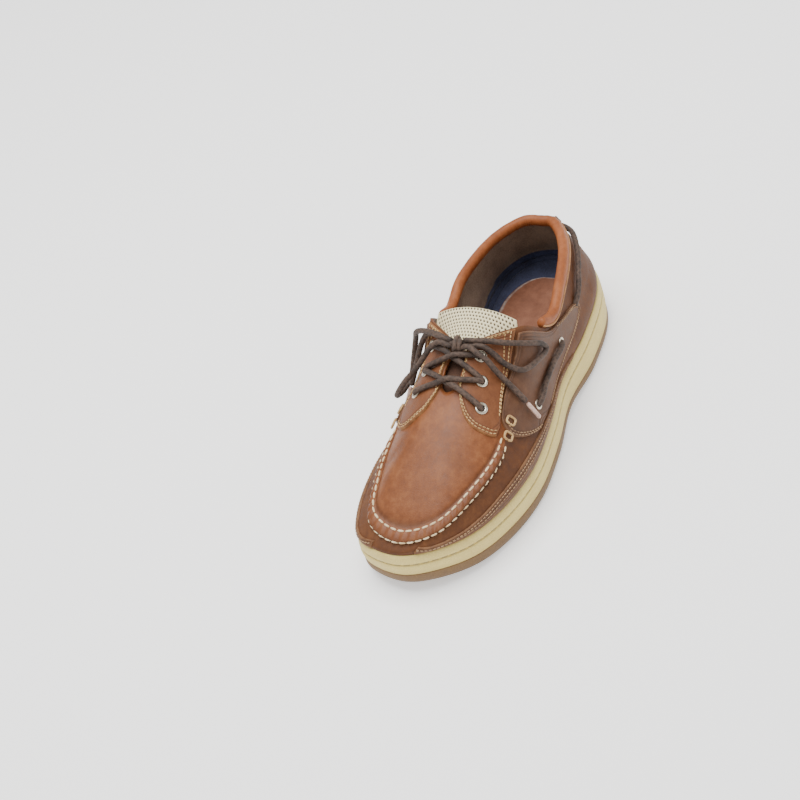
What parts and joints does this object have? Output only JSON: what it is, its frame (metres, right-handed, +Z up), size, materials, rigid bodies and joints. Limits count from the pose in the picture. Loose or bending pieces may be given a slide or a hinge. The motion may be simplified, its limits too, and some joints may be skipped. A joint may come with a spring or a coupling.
{
  "type": "boat shoe",
  "caption": "Left leather boat shoe with moccasin toe seam, laced facings with a bow, collar lace round the heel, padded collar, cream midsole and gum outsole.",
  "frame": {"origin": "middle of the shoe's box in plan, at the ground plane under the sole", "axes": "+X heel to toe, +Y to the outer (lateral) side, +Z up"},
  "size_m": [0.3014, 0.1072, 0.1046],
  "materials": {
    "gum_rubber": "matte gum-brown tread rubber",
    "cream_rubber": "satin cream rubber",
    "sock_leather": "smooth brown footbed leather",
    "brown_leather": "oiled dark brown leather",
    "tan_leather": "oiled tan leather",
    "roll_leather": "smooth orange-tan padded leather",
    "mesh_fabric": "ivory open mesh",
    "lace_cord": "dark brown waxed round lace",
    "eyelet_metal": "pale silvery metal",
    "aglet_plastic": "pale clear-pink plastic"
  },
  "bodies": {
    "root": {"outsole": "gum_rubber", "midsole": "cream_rubber", "insole": "sock_leather", "upper": "brown_leather", "tongue": "mesh_fabric", "collar_roll": "roll_leather", "eyestay_lateral": "tan_leather", "eyestay_medial": "tan_leather", "quarter_lateral": "brown_leather", "quarter_medial": "brown_leather", "foxing_lateral": "brown_leather", "foxing_medial": "brown_leather", "heel_tab": "brown_leather", "eyelet_lateral_1": "eyelet_metal", "eyelet_lateral_2": "eyelet_metal", "eyelet_lateral_3": "eyelet_metal", "eyelet_medial_1": "eyelet_metal", "eyelet_medial_2": "eyelet_metal", "eyelet_medial_3": "eyelet_metal", "eyelet_side_lateral_rear": "eyelet_metal", "eyelet_side_lateral_front": "eyelet_metal", "eyelet_side_medial_rear": "eyelet_metal", "eyelet_side_medial_front": "eyelet_metal", "lace_crossings": "lace_cord", "side_lace_lateral": "lace_cord", "side_lace_medial": "lace_cord", "heel_lace": "lace_cord", "knot": "lace_cord", "bow_loop_lateral": "lace_cord", "bow_loop_medial": "lace_cord", "lace_end_lateral": "lace_cord", "lace_end_medial": "lace_cord", "aglet_lateral": "aglet_plastic", "aglet_medial": "aglet_plastic"}
  },
  "joints": []
}
